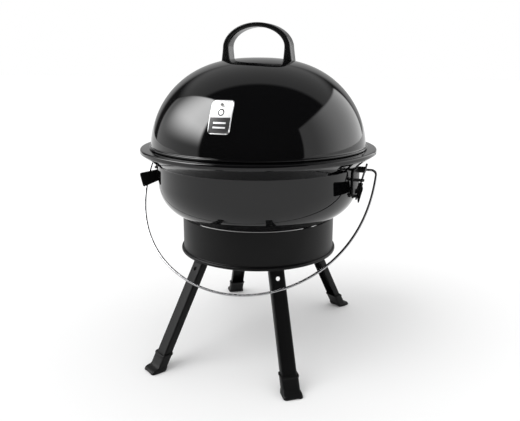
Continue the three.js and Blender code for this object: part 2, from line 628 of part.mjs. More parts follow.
// Parallel rods within a hoop, and two crossing rods just under or over them.
function grate(radius, height, pitch, crossAt, crossStep) {
  const count = Math.floor((radius - 3) / pitch);
  const rods = Array.from({ length: 2 * count + 1 }, (_, i) => (i - count) * pitch).map((x) => {
    const half = Math.sqrt(radius ** 2 - x ** 2);
    return rod([x, -half, height], [x, half, height], grateRod, 6);
  });
  const cross = [-crossAt, crossAt].map((y) => {
    const half = Math.sqrt(radius ** 2 - y ** 2);
    return rod([-half, y, height + crossStep], [half, y, height + crossStep], grateRod, 6);
  });
  return join(hoop(radius, height, grateRing), ...rods, ...cross);
}

place("cooking_grate", grate(grateRadius, grateHeight, gratePitch, grateRadius * 0.42, -2.4), brightSteel);
const grateSeat = 0.6;                               // clears the bowl's inside between its facets
const charcoalHeight = dishCentre + grateRing + gap + grateSeat
  - Math.sqrt((bowlBottomRadius - sheet) ** 2 - (charcoalRadius + grateRing) ** 2);
place("charcoal_grate", grate(charcoalRadius, charcoalHeight, charcoalPitch, charcoalRadius * 0.4, 2.4),
  darkWire);

const supportFace = (bowlRadius - sheet) * facet - 2 * gap;
const supportTop = grateHeight - grateRing - gap;
ringOf(supports, 90).forEach((bearing, i) => {
  const angle = shapeOf([[supportFace, supportTop], [supportFace - supportReach, supportTop],
    [supportFace - supportReach, supportTop - supportThick], [supportFace - supportThick, supportTop - supportThick],
    [supportFace - supportThick, supportTop - 14], [supportFace, supportTop - 14]]);
  place(`grate_support_${i + 1}`, slabXZ(angle, supportWidth).rotateZ(rad(bearing)), brightSteel);
});

export default grill;
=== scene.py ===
"""A portable kettle charcoal grill in a pale studio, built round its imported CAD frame.
Lengths are metres. The floor is at zero, the badge faces front (-Y) and the lid's handle runs along X."""
import math

import bmesh
import bpy
import numpy as np
from mathutils import Matrix, Vector


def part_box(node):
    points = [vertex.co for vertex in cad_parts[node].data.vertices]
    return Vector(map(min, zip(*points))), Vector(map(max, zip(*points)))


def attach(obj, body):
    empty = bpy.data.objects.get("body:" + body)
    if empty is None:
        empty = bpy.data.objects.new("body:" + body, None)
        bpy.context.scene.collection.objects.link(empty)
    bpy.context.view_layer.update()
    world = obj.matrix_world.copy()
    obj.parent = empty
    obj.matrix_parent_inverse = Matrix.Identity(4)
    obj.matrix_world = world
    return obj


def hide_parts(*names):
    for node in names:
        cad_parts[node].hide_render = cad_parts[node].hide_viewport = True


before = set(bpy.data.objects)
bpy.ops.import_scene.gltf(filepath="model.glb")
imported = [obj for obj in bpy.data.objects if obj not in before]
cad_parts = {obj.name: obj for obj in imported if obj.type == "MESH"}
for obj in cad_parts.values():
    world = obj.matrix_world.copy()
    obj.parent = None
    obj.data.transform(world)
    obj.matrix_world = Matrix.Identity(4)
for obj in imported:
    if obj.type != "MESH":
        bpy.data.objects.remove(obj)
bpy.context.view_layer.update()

# ---- Studio: floor, soft panels, surroundings and camera ----------------------------------------
# White floor and backdrop under a soft sun. What shiny pieces mirror is painted on the surroundings: a
# dark room in front, a bright soft box on the left, a graded one on the right, and grey overhead and behind.
mm = 0.001
rim_top = 310 * mm
rim_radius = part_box("rim_ring")[1].x
camera_azimuth = math.radians(19)
camera_drop = math.radians(14.55)
camera_reach = 880 * mm
camera_height = rim_top + 126.2 * mm
lens_per_sensor = 584 / 520
sideways_shift = 0.0033

camera = bpy.data.objects.new("camera", bpy.data.cameras.new("camera"))
camera.data.sensor_width = 36
camera.data.lens = 36 * lens_per_sensor
camera.data.shift_x = sideways_shift
camera.location = (camera_reach * math.sin(camera_azimuth), -camera_reach * math.cos(camera_azimuth),
                   camera_height)
camera.rotation_euler = (math.pi / 2 - camera_drop, 0, camera_azimuth)
bpy.context.collection.objects.link(camera)
bpy.context.scene.camera = camera
bpy.context.scene.view_settings.view_transform = "Standard"


class Signal:
    """An output socket of a shader tree. Operators on it add Math nodes, and node() adds any other."""

    def __init__(self, tree, socket=None):
        self.tree = tree
        self.socket = socket

    def node(self, kind, settings=(), inputs=(), output=0):
        """A new node, its settings first and then the value or link of each input. Gives one output."""
        new = self.tree.nodes.new(kind)
        for key, value in dict(settings).items():
            if key == "stops":
                ramp = new.color_ramp
                while len(ramp.elements) < len(value):
                    ramp.elements.new(1)
                for element, (at, shade) in zip(ramp.elements, value):
                    element.position = at
                    element.color = (shade, shade, shade, 1)
            else:
                setattr(new, key, value)
        for key, value in dict(inputs).items():
            if isinstance(value, Signal):
                self.tree.links.new(value.socket, new.inputs[key])
            else:
                new.inputs[key].default_value = value
        return Signal(self.tree, new.outputs[output])

    def maths(self, operation, *values):
        return self.node("ShaderNodeMath", {"operation": operation}, enumerate(values))

    def __add__(self, other):
        return self.maths("ADD", self, other)

    def __sub__(self, other):
        return self.maths("SUBTRACT", self, other)

    def __rsub__(self, other):
        return self.maths("SUBTRACT", other, self)

    def __mul__(self, other):
        return self.maths("MULTIPLY", self, other)

    def __truediv__(self, other):
        return self.maths("DIVIDE", self, other)

    def __pow__(self, other):
        return self.maths("POWER", self, other)

    def __lt__(self, other):
        return self.maths("LESS_THAN", self, other)

    def __gt__(self, other):
        return self.maths("GREATER_THAN", self, other)

    def __abs__(self):
        return self.maths("ABSOLUTE", self)

    __radd__ = __add__
    __rmul__ = __mul__


world = bpy.data.worlds.new("studio")
bpy.context.scene.world = world
world.use_nodes = True
world.node_tree.nodes.clear()
room = Signal(world.node_tree)
direction = room.node("ShaderNodeTexCoord")


def toward(x, y, z):
    """How far a ray goes along a unit vector."""
    return room.node("ShaderNodeVectorMath", {"operation": "DOT_PRODUCT"},
                     {0: direction, 1: (x, y, z)}, "Value")


def rise(value, low, high):
    """Goes smoothly from 0 at low to 1 at high: 3 t^2 - 2 t^3. It falls if low is the larger."""
    return value.node("ShaderNodeMapRange", {"interpolation_type": "SMOOTHSTEP"},
                      {"Value": value, "From Min": low, "From Max": high})


to_right = toward(math.cos(camera_azimuth), math.sin(camera_azimuth), 0)
to_back = toward(-math.sin(camera_azimuth), math.cos(camera_azimuth), 0)
upward = toward(0, 0, 1)
left_side = room.maths("MAXIMUM", to_right * -1, 0.05)
left_along, left_up = to_back / left_side, upward / left_side
left_edges = (rise(left_along, -0.56, -0.46) * rise(left_along, 1.0, 0.9)
              * rise(left_along * 0.83 + left_up, 1.48, 1.38) * (to_right < -0.05))
left_glow, left_dim = 10.5, 0.7
left_box = left_edges * (rise(left_up, 0.1, 0.6) * rise(left_along, 0.8, -0.15) * left_glow + left_dim)
right_side = room.maths("MAXIMUM", to_right, 0.05)
right_along, right_up = to_back / right_side, upward / right_side
right_edges = (rise(right_along, -0.97, -0.9) * rise(right_along, 1.5, 1.3)
               * rise(right_up, 0.86, 0.78) * (to_right > 0.05))
right_glow, right_dim = 1.2, 0.8
right_box = right_edges * (rise(right_along, -0.6, 0.2) * right_glow + right_dim)
overhead = rise(to_back, 0.1, 0.2) * rise(upward, 0.4, 0.6) * 0.42
behind = rise(to_back, 0.78, 0.88) * 0.45
dark_room = 0.03
mirrored = room.maths("MAXIMUM", room.maths("MAXIMUM", left_box, right_box),
                      room.maths("MAXIMUM", overhead, behind)) + dark_room
path_kind = room.node("ShaderNodeLightPath")
is_mirror = Signal(room.tree, path_kind.socket.node.outputs["Is Glossy Ray"])
is_seen = Signal(room.tree, path_kind.socket.node.outputs["Is Camera Ray"])
soft_fill = 0.94
ambient = is_seen * (1 - soft_fill) + soft_fill
glow = room.node("ShaderNodeMix", {"data_type": "FLOAT"}, {0: is_mirror, 2: ambient, 3: mirrored})
backdrop = room.node("ShaderNodeBackground", (), {"Color": (1, 1, 1, 1), "Strength": glow})
world_out = world.node_tree.nodes.new("ShaderNodeOutputWorld")
world.node_tree.links.new(backdrop.socket, world_out.inputs["Surface"])


sun = bpy.data.objects.new("sun", bpy.data.lights.new("sun", "SUN"))
sun.data.energy = 0.95
sun.data.angle = math.radians(46)
sun.rotation_euler = (math.radians(40), 0, math.radians(-42))
sun.visible_glossy = False
bpy.context.collection.objects.link(sun)

floor_mesh = bpy.data.meshes.new("floor")
floor_reach, floor_front = 12, -2.2
floor_mesh.from_pydata([(-floor_reach, floor_front, 0), (floor_reach, floor_front, 0),
                        (floor_reach, floor_reach, 0), (-floor_reach, floor_reach, 0)], [], [(0, 1, 2, 3)])
floor = bpy.data.objects.new("floor", floor_mesh)
bpy.context.collection.objects.link(floor)


def new_finish(name, **constants):
    """A material with one Principled shader, whose unchanging inputs are set on it. Gives the material,
    the shader and a Signal to build the varying ones with."""
    material = bpy.data.materials.new(name)
    material.use_nodes = True
    shader = material.node_tree.nodes["Principled BSDF"]
    for key, value in constants.items():
        shader.inputs[key.replace("_", " ")].default_value = value
    return material, shader, Signal(material.node_tree)


def feed(shader, **signals):
    """Links signals to a shader's inputs."""
    for key, signal in signals.items():
        signal.tree.links.new(signal.socket, shader.inputs[key.replace("_", " ")])


floor_finish, floor_shader, _ = new_finish("pale_floor", Base_Color=(0.93, 0.93, 0.93, 1), Roughness=0.9)
floor_shader.inputs["Specular IOR Level"].default_value = 0.0
floor.data.materials.append(floor_finish)

# ---- Bowl ---------------------------------------------------------------------------------------
# One deep-drawn steel pressing in gloss enamel: a dished bottom, a straight wall and a flared collar.
# Three air holes and the damper's rivet hole are punched in its flat middle.
sheet = 1.5 * mm
bowl_radius = 151 * mm
bowl_shoulder = 52 * mm
dish_radius = 230 * mm
flat_radius = 48 * mm
turn_height = rim_top - 52 * mm
collar_foot = rim_top - 22 * mm
collar_edge = rim_radius - sheet - 0.3 * mm
turn_reach = bowl_radius - bowl_shoulder
dish_centre = turn_height + math.sqrt((dish_radius - bowl_shoulder) ** 2 - turn_reach ** 2)
dish_end = math.atan2(turn_reach, dish_centre - turn_height)
dish_start = math.asin(flat_radius / dish_radius)
bottom_height = dish_centre - dish_radius * math.cos(dish_start)


def rounded(corners, radii, steps=6, closed=True):
    """A polyline with each corner turned into an arc tangent to both sides. The arc's centre lies on the
    corner's bisector at radius / sin(half angle), and the sides are cut at radius / tan(half angle)."""
    corners = np.asarray(corners, float)
    radii = np.broadcast_to(radii, len(corners))
    pieces = []
    for i, radius in enumerate(radii):
        here = corners[i]
        if radius == 0 or (not closed and i in (0, len(corners) - 1)):
            pieces.append(here[None])
            continue
        back = corners[i - 1] - here
        ahead = corners[(i + 1) % len(corners)] - here
        back, ahead = back / np.linalg.norm(back), ahead / np.linalg.norm(ahead)
        half = math.acos(np.clip(back @ ahead, -1, 1)) / 2
        if half > math.pi / 2 - 0.02:
            pieces.append(here[None])
            continue
        bisector = (back + ahead) / np.linalg.norm(back + ahead)
        centre = here + bisector * radius / math.sin(half)
        reach = radius / math.tan(half)
        first, last = here + back * reach - centre, here + ahead * reach - centre
        sweep = math.pi - 2 * half
        t = np.linspace(0, 1, steps + 1)[:, None]
        turned_through = np.sin((1 - t) * sweep) * first + np.sin(t * sweep) * last
        pieces.append(centre + turned_through / math.sin(sweep))
    return np.concatenate(pieces)


def oblong(x0, y0, x1, y1):
    """The corners of a rectangle, in order round it."""
    return [(x0, y0), (x1, y0), (x1, y1), (x0, y1)]


def divided(outline, parts):
    """A closed outline with each of its sides cut into equal parts."""
    return np.concatenate([np.linspace(a, b, parts, endpoint=False)
                           for a, b in zip(outline, np.roll(outline, -1, 0))])


def skin(name, *grids, ring=False, crease=35):
    """Closed surfaces over grids of points, rows x columns x 3, in one piece. Each row is a closed loop, and
    the rows close on each other if ring is true. Otherwise the end rows are capped, or are poles."""
    points, faces, start = [], [], 0
    for grid in grids:
        rows, columns = grid.shape[:2]
        index = start + np.arange(rows * columns).reshape(rows, columns)
        near = index if ring else index[:-1]
        far = np.roll(index, -1, 0) if ring else index[1:]
        quads = np.stack([near, np.roll(near, -1, 1), np.roll(far, -1, 1), far], -1)
        faces += quads.reshape(-1, 4).tolist()
        if not ring:
            faces += [index[i].tolist() for i in (0, -1) if np.ptp(grid[i], 0).max() > 1e-7]
        points += grid.reshape(-1, 3).tolist()
        start += rows * columns
    mesh = bpy.data.meshes.new(name)
    mesh.from_pydata(points, [], faces)
    shape = bmesh.new()
    shape.from_mesh(mesh)
    bmesh.ops.remove_doubles(shape, verts=shape.verts, dist=1e-7)
    bmesh.ops.dissolve_degenerate(shape, edges=shape.edges, dist=1e-8)
    bmesh.ops.recalc_face_normals(shape, faces=shape.faces)
    shape.to_mesh(mesh)
    shape.free()
    piece = bpy.data.objects.new(name, mesh)
    bpy.context.collection.objects.link(piece)
    return shaded(piece, crease)


def shaded(piece, crease=35):
    """Smooth shading over a piece, broken at edges sharper than crease degrees."""
    piece.data.polygons.foreach_set("use_smooth", np.ones(len(piece.data.polygons), bool))
    piece.data.set_sharp_from_angle(angle=math.radians(crease))
    return piece


def turning(profile, sides, matrix=None):
    """The grid of a profile of (radius, height) turned round Z: x = r cos a, y = r sin a, z = h."""
    profile = np.asarray(profile)
    angle = np.linspace(0, 2 * math.pi, sides, endpoint=False)
    grid = np.stack([np.outer(profile[:, 0], np.cos(angle)), np.outer(profile[:, 0], np.sin(angle)),
                     np.repeat(profile[:, 1:], sides, 1)], -1)
    return moved(grid, matrix)


def turned(name, profile, sides=192, ring=True, matrix=None, crease=35):
    """A piece turned round Z from a profile, as on a lathe."""
    return skin(name, turning(profile, sides, matrix), ring=ring, crease=crease)


def moved(points, matrix):
    """Points turned and shifted by a 4 x 4 matrix."""
    if matrix is None:
        return points
    matrix = np.array(matrix)
    return points @ matrix[:3, :3].T + matrix[:3, 3]


def arc(centre, radius, start, end, steps):
    """Points of a circle, (c + r sin a, h - r cos a), so that angle 0 is its lowest point."""
    angle = np.linspace(start, end, steps)
    return np.stack([centre[0] + radius * np.sin(angle), centre[1] - radius * np.cos(angle)], -1)


def shift(x=0.0, y=0.0, z=0.0):
    """A matrix that moves by a distance."""
    return Matrix.Translation((x, y, z))


def spin(angle, axis):
    """A matrix that turns by radians about an axis through the origin."""
    return Matrix.Rotation(angle, 4, axis)


def combine(piece, tool, operation="DIFFERENCE", crease=35):
    """Cuts a tool out of a piece, or adds it, and throws the tool away."""
    modifier = piece.modifiers.new("combine", "BOOLEAN")
    modifier.object = tool
    modifier.operation = operation
    modifier.solver = "EXACT"
    result = bpy.data.meshes.new_from_object(piece.evaluated_get(bpy.context.evaluated_depsgraph_get()))
    piece.modifiers.clear()
    piece.data = result
    bpy.data.objects.remove(tool)
    return shaded(piece, crease)


def drums(radius, low, high, centres, matrix=None, sides=48):
    """Plain drums with their axes along Z, in one piece, to cut holes with."""
    profile = oblong(0, low, radius, high)
    matrix = matrix or Matrix()
    return skin("drums", *[turning(profile, sides, matrix @ shift(x, y)) for x, y in centres])


def belongs(piece, finish, body, slot, *nodes):
    """Gives a piece its finish and the body it moves with, and hides the CAD nodes it stands for. The slot
    is not used.
    """
    piece.data.materials.clear()
    piece.data.materials.append(finish)
    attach(piece, body)
    if nodes:
        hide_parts(*nodes)
    return piece


def noise(place, scale, detail):
    """Cloudy noise from 0 to 1 over a place."""
    return place.node("ShaderNodeTexNoise", (), {"Vector": place, "Scale": scale, "Detail": detail}, "Fac")


def blend(share, low, high):
    """A colour between two, each a red, green and blue triple or a Signal."""
    low, high = [end if isinstance(end, Signal) else (*end, 1) for end in (low, high)]
    return share.node("ShaderNodeMix", {"data_type": "RGBA"}, {0: share, 6: low, 7: high}, 2)


def bump(height, strength, distance):
    """A normal raised by a height signal."""
    return height.node("ShaderNodeBump", (), {"Strength": strength, "Distance": distance, "Height": height})


def tinted(shade, *shares):
    """A grey shade with its red, green and blue scaled."""
    return [shade * share for share in shares]


def enamel(name, shade, ripple, gloss=0.5):
    """Gloss porcelain enamel: near-black glass over steel, with a fired coat's faint ripple and speckle."""
    finish, shader, root = new_finish(name)
    shader.inputs["Specular IOR Level"].default_value = gloss
    place = root.node("ShaderNodeTexCoord", output="Object")
    tint = blend(noise(place, 900.0, 2.0) ** 3, tinted(shade, 1, 1, 1.12), tinted(shade, 2.2, 2.2, 2.5))
    feed(shader, Base_Color=tint, Roughness=noise(place, 9.0, 3.0) * 0.03 + 0.035,
         Normal=bump(noise(place, 34.0, 2.0), ripple, 0.4 * mm))
    return finish


bowl_finish = enamel("bowl_enamel", 0.002, 0.05, 0.4)
collar_top = rim_top - sheet - 0.3 * mm
collar_shoulder = rim_top - 7 * mm
turn_centre = (turn_reach, turn_height)
wall_out = arc(turn_centre, bowl_shoulder, dish_end, math.pi / 2, 28)
wall_in = arc(turn_centre, bowl_shoulder - sheet, dish_end, math.pi / 2, 28)
bowl_outside = rounded([
    (bowl_radius, collar_foot - 6 * mm), (bowl_radius, collar_foot - 2.2 * mm),
    (bowl_radius + 2.4 * mm, collar_foot - 0.4 * mm), (collar_edge, collar_shoulder),
    (collar_edge, collar_top), (collar_edge - sheet, collar_top),
    (collar_edge - sheet, collar_shoulder + 1 * mm), (bowl_radius + 0.6 * mm, collar_foot + 1.6 * mm),
    (bowl_radius - sheet, collar_foot - 1 * mm), (bowl_radius - sheet, collar_foot - 6 * mm)],
    [0, 1.2 * mm, 1.0 * mm, 2.5 * mm, 0.5 * mm, 0.5 * mm, 1.2 * mm, 2 * mm, 2 * mm, 0], 6, False)
bowl_profile = np.concatenate([
    [(0, bottom_height), (flat_radius * 0.5, bottom_height)],
    arc((0, dish_centre), dish_radius, dish_start, dish_end, 26)[:-1], wall_out, bowl_outside,
    wall_in[::-1], arc((0, dish_centre), dish_radius - sheet, dish_start, dish_end, 26)[::-1][1:],
    [(flat_radius * 0.5, bottom_height + sheet), (0, bottom_height + sheet)]])
bowl = turned("bowl_shell", bowl_profile, 224, False)
air_pitch = 27 * mm
air_hole = 10 * mm
pin_radius = 3 * mm


def round_axis(pitch, first=0):
    """Three places at a distance round an axis, the first at a bearing in degrees from +Y."""
    bearings = np.radians(first + np.array([0, 120, 240]))
    return np.stack([pitch * np.sin(bearings), pitch * np.cos(bearings)], -1).tolist()


combine(bowl, drums(air_hole, bottom_height - 5 * mm, bottom_height + 5 * mm, round_axis(air_pitch)))
belongs(bowl, bowl_finish, "base", "grey_enamel", "bowl")

# ---- Rim ring -----------------------------------------------------------------------------------
# A rolled enamelled channel crimped over the collar's edge. The lid stands on its flat top, round the
# upturned inner edge, and a small notch in the outer band marks each side.
band = 6 * mm
lid_radius = 160 * mm
inner_edge = lid_radius - sheet - 1.5 * mm
ring_profile = rounded([
    (rim_radius - sheet, rim_top - band), (rim_radius, rim_top - band), (rim_radius, rim_top),
    (lid_radius - sheet - 0.7 * mm, rim_top - 0.2 * mm), (inner_edge, rim_top + 4 * mm),
    (inner_edge - sheet, rim_top + 4 * mm), (inner_edge - sheet, rim_top - sheet),
    (rim_radius - sheet, rim_top - sheet)],
    [0.6 * mm, 0.6 * mm, 2.6 * mm, 0.5 * mm, 0.6 * mm, 0.6 * mm, 0.5 * mm, 1 * mm], 8)
rim = turned("rim_channel", ring_profile, 256)
notch_half, notch_deep = 2.2 * mm, 2.5 * mm
notch_profile = rounded(oblong(0, -notch_half, notch_deep, notch_half), [0, 0.8 * mm, 0.8 * mm, 0], 5, False)
for side in (-1, 1):
    notch = turned("notch", notch_profile, 24, False, shift(side * rim_radius, 0, rim_top - 5 * mm))
    combine(rim, notch)
belongs(rim, bowl_finish, "base", "grey_enamel", "rim_ring")

# ---- Ring stand ---------------------------------------------------------------------------------
# A rolled steel hoop in satin black paint, with its lower edge rolled outwards into a bead. The bowl
# stands on its upper edge, and the legs are screwed inside it.
ring_radius = 116 * mm
ring_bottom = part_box("ring_stand")[0].z
ring_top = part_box("ring_stand")[1].z
bead_out = 3.5 * mm


def satin_paint(name, shade, grain_size, rough):
    """Satin paint: an even dark coat with a fine orange-peel grain and slightly uneven sheen."""
    finish, shader, root = new_finish(name)
    shader.inputs["Specular IOR Level"].default_value = 0.16
    place = root.node("ShaderNodeTexCoord", output="Object")
    cloud = noise(place, 18.0, 4.0)
    tint = blend(cloud, tinted(shade, 0.8, 0.8, 0.84), tinted(shade, 1.25, 1.25, 1.3))
    feed(shader, Base_Color=tint, Roughness=cloud * 0.12 + rough,
         Normal=bump(noise(place, grain_size, 2.0), 0.12, 0.3 * mm))
    return finish


stand_finish = satin_paint("stand_paint", 0.003, 700.0, 0.34)
stand_profile = rounded([
    (ring_radius - sheet, ring_bottom + 0.4 * mm), (ring_radius - sheet, ring_top),
    (ring_radius, ring_top), (ring_radius, ring_bottom + 5.4 * mm),
    (ring_radius + bead_out, ring_bottom + 5 * mm), (ring_radius + bead_out, ring_bottom),
    (ring_radius - sheet, ring_bottom)],
    [0, 0.6 * mm, 0.6 * mm, 1.2 * mm, 2.2 * mm, 2.2 * mm, 0.6 * mm], 8)
stand = turned("ring_stand_hoop", stand_profile, 192)
belongs(stand, stand_finish, "base", "satin_black", "ring_stand")

# ---- Legs ---------------------------------------------------------------------------------------
# Four folded steel channels in satin black paint, open towards the inside. Each is screwed inside the
# hoop, bends outwards just below it, and has a round hole through its face near the bend.
leg_bearings = {"front_left": -122.5, "front_right": -57.5, "back_right": 57.5, "back_left": 122.5}
leg_width = 22 * mm
leg_depth = 11 * mm
leg_face = 113.4 * mm
foot_radius = 190 * mm
leg_top = ring_bottom + 36 * mm
leg_bend = ring_bottom - 3 * mm
leg_end = 7 * mm
leg_slope = (foot_radius - leg_face) / (leg_bend - leg_end)
leg_slant = math.hypot(1, leg_slope)
leg_screw_height = ring_bottom + 19 * mm


def carried(path, section, across, size=1.0):
    """A closed section of (u, v) carried along a flat path: each row is the path's point, plus u times the
    plane's normal crossed with the tangent, plus v times that normal, both scaled by the row's size."""
    tangent = np.gradient(path, axis=0)
    tangent /= np.linalg.norm(tangent, axis=1, keepdims=True)
    inward = np.cross(across, tangent)
    size = np.broadcast_to(size, len(path))[:, None, None]
    section = np.asarray(section)
    if section.ndim == 2:
        section = section[None]
    offset = section[..., :1] * inward[:, None] + section[..., 1:] * np.asarray(across)
    return path[:, None] + size * offset


def copies(piece, matrices, names):
    """Copies of a piece turned and shifted by matrices. The piece itself is thrown away."""
    made = []
    for name, matrix in zip(names, matrices):
        mesh = piece.data.copy()
        mesh.transform(matrix)
        made.append(bpy.data.objects.new(name, mesh))
        bpy.context.collection.objects.link(made[-1])
    bpy.data.objects.remove(piece)
    return made


def leg_radius(height, depth=0):
    """Radius of the leg's sloping outer face at a height, or of a face at a depth behind it."""
    return leg_face + (leg_bend - height) * leg_slope - depth * leg_slant


leg_path = rounded([(leg_face, leg_top), (leg_face, leg_bend), (leg_radius(leg_end), leg_end)],
                   [0, 9 * mm, 0], 10, False)
leg_path = np.stack([leg_path[:, 0], 0 * leg_path[:, 0], leg_path[:, 1]], -1)
half_leg = leg_width / 2
channel = rounded([(0, -half_leg), (leg_depth, -half_leg), (leg_depth, -half_leg + sheet),
                   (sheet, -half_leg + sheet), (sheet, half_leg - sheet), (leg_depth, half_leg - sheet),
                   (leg_depth, half_leg), (0, half_leg)],
                  [3 * mm, 0.6 * mm, 0.6 * mm, 1.5 * mm, 1.5 * mm, 0.6 * mm, 0.6 * mm, 3 * mm], 6)
leg = skin("leg", carried(leg_path, channel, (0, 1, 0)))
leg_hole = 3 * mm
face_through = shift(leg_face, 0, 0) @ spin(math.pi / 2, "Y")
combine(leg, drums(leg_hole, -6 * mm, 14 * mm, [(-(leg_bend - 9 * mm), 0)], face_through, 32))
leg_finish = satin_paint("leg_paint", 0.003, 800.0, 0.36)
turns = [spin(math.radians(bearing), "Z") for bearing in leg_bearings.values()]
for name, piece in zip(leg_bearings, copies(leg, turns, [f"leg_channel_{name}" for name in leg_bearings])):
    shaded(piece)
    belongs(piece, leg_finish, "base", "satin_black", f"leg_{name}")

# ---- Boots --------------------------------------------------------------------------------------
# Moulded black plastic caps pushed over the legs' ends. Each has a lip round its mouth, a short toe that
# points outwards, and a sole that stands on its heel and toe with a low arch between its two sides.
boot_height = 24 * mm
boot_wall = 2.2 * mm
toe_length = 7 * mm
toe_height = 5 * mm


def moulded_plastic(name, shade, rough, grain_size=1400.0, gloss=0.18):
    """Moulded plastic: even colour, a fine spark-eroded grain, and wear that shines its high spots."""
    finish, shader, root = new_finish(name)
    shader.inputs["Specular IOR Level"].default_value = gloss
    place = root.node("ShaderNodeTexCoord", output="Object")
    grain = root.node("ShaderNodeTexVoronoi", {"feature": "SMOOTH_F1"},
                      {"Vector": place, "Scale": grain_size})
    cloud = noise(place, 30.0, 3.0)
    tint = blend(cloud, tinted(shade, 0.85, 0.85, 0.87), tinted(shade, 1.2, 1.2, 1.24))
    feed(shader, Base_Color=tint, Roughness=cloud * 0.14 + rough, Normal=bump(grain, 0.15, 0.2 * mm))
    return finish


def signed_power(value, power):
    """A number to a power, with its sign kept."""
    return np.sign(value) * np.abs(value) ** power


def superellipse(middle, half_length, half_width, power, height, sides=48):
    """Rows of |x / a| ^ p + |y / b| ^ p = 1 at a height, all arrays of one value per row."""
    angle = np.linspace(0, 2 * math.pi, sides, endpoint=False)
    middle, half_length, half_width, power, height = [
        np.broadcast_to(np.asarray(value, float), np.shape(height))[:, None]
        for value in (middle, half_length, half_width, power, height)]
    x = middle + half_length * signed_power(np.cos(angle), 2 / power)
    y = half_width * signed_power(np.sin(angle), 2 / power)
    return np.stack([x, y, np.broadcast_to(height, x.shape)], -1)


boot_half = half_leg + boot_wall
boot_rows = np.concatenate([np.array([0, 0, 0.5, 1.2, 2.2, 3.2, 4.2, 5, 5.6, 6.4, 8, 11, 14]) * mm,
                            boot_height - np.array([7, 4, 3, 2.2, 0.6, 0, 0]) * mm])
inset = np.array([30, 1.4, 0.5, 0.1, 0, 0, 0, 0.1, 0.4, *[0.8] * 6, 0.6, 0, 0, 0.4, 1.3]) * mm
toe = toe_length * np.clip((toe_height + 1.6 * mm - boot_rows) / (2.4 * mm), 0, 1) ** 0.6
heel_side = leg_radius(boot_rows, leg_depth) - boot_wall * leg_slant + inset
toe_side = leg_radius(boot_rows) + boot_wall * leg_slant + toe - inset
toe_side = np.maximum(toe_side, heel_side)
outside = superellipse((heel_side + toe_side) / 2, (toe_side - heel_side) / 2,
                       np.maximum(boot_half - inset, 0), 6, boot_rows)
pocket_rows = np.array([boot_height, boot_height - 0.6 * mm, 15 * mm, leg_end - 0.3 * mm])
pocket_gap = np.array([0.9, 0.4, 0.4, 0.4]) * mm
pocket_in = leg_radius(pocket_rows, leg_depth) - pocket_gap * leg_slant
pocket_out = leg_radius(pocket_rows) + pocket_gap * leg_slant
pocket = superellipse((pocket_in + pocket_out) / 2, (pocket_out - pocket_in) / 2, half_leg + pocket_gap, 16,
                      pocket_rows)
cap = np.concatenate([outside[1:], pocket])
arch_rise = 2.2 * mm
near_floor = np.clip(1 - cap[:, :, 2] / (4 * mm), 0, 1)
cap[:, :, 2] += near_floor * arch_rise * np.clip(1 - (cap[:, :, 1] / (0.62 * boot_half)) ** 2, 0, 1)
foot_flare, flare_height = 0.08, 7 * mm
flare = 1 + foot_flare * np.clip(1 - cap[:, :, 2] / flare_height, 0, 1) ** 2
cap[:, :, 1] *= flare
boot = skin("boot", cap, crease=50)
boot_finish = moulded_plastic("boot_plastic", 0.003, 0.46)
for name, piece in zip(leg_bearings, copies(boot, turns, [f"boot_{name}" for name in leg_bearings])):
    shaded(piece, 50)
    belongs(piece, boot_finish, "base", "black_plastic", f"foot_{name}")

# ---- Leg screws ---------------------------------------------------------------------------------
# Plated pan-head screws, put in from inside the hoop. A slot crosses each head.
screw_radius = 2 * mm


def metal(name, colour, rough, streak=(1, 1, 1), streak_scale=220.0, depth=0.05):
    """Bare or plated metal: its sheen drifts, and fine lines run along the axis whose streak is small."""
    finish, shader, root = new_finish(name, Metallic=1.0)
    place = root.node("ShaderNodeTexCoord", output="Object")
    lines = noise(root.node("ShaderNodeMapping", (), {"Vector": place, "Scale": streak}), streak_scale, 3.0)
    cloud = noise(place, 25.0, 3.0)
    tint = blend(cloud, [c * 0.86 for c in colour], [min(c * 1.06, 1) for c in colour])
    feed(shader, Base_Color=tint, Roughness=cloud * 0.12 + lines * 0.08 + (rough - 0.1),
         Normal=bump(lines, depth, 0.2 * mm))
    return finish


def fastener(name, radius, head_radius, head_height, length, matrix, slot=True):
    """A domed head on a shank, along Z: the head's underside is at zero and the shank goes down."""
    brim = head_height * 0.45
    crown = arc((0, 0), 1, math.pi / 2, math.pi, 9) * (head_radius, head_height - brim) + (0, brim)
    crown[-1, 0] = 0
    shank = [(0, -length), (radius - 0.3 * mm, -length), (radius, -length + 0.3 * mm), (radius, 0)]
    under_head = [(head_radius - 0.15 * mm, 0), (head_radius, 0.15 * mm)]
    profile = np.concatenate([shank, under_head, crown])
    piece = turned(name, profile, 40, False)
    if slot:
        bar = skin("slot", plain_bar(head_radius * 2.2, head_radius * 0.24, head_height * 0.55,
                                     head_height * 1.5))
        combine(piece, bar)
    piece.data.transform(matrix)
    return piece


def plain_bar(length, width, low, high):
    """The grid of a plain bar along X, between two heights."""
    corners = np.array(oblong(-length / 2, -width / 2, length / 2, width / 2))
    return np.stack([np.column_stack([corners, np.full(4, z)]) for z in (low, high)])


screw_finish = metal("plated_screws", (0.62, 0.62, 0.61), 0.3)
inward = spin(-math.pi / 2, "Y")
for name, turn in zip(leg_bearings, turns):
    head_at = shift(leg_face - sheet - 0.3 * mm, 0, leg_screw_height)
    screw = fastener(f"hoop_screw_{name}", screw_radius, 5 * mm, 2.5 * mm, 3.2 * mm, turn @ head_at @ inward)
    belongs(screw, screw_finish, "base", "bright_steel", f"leg_screw_{name}")

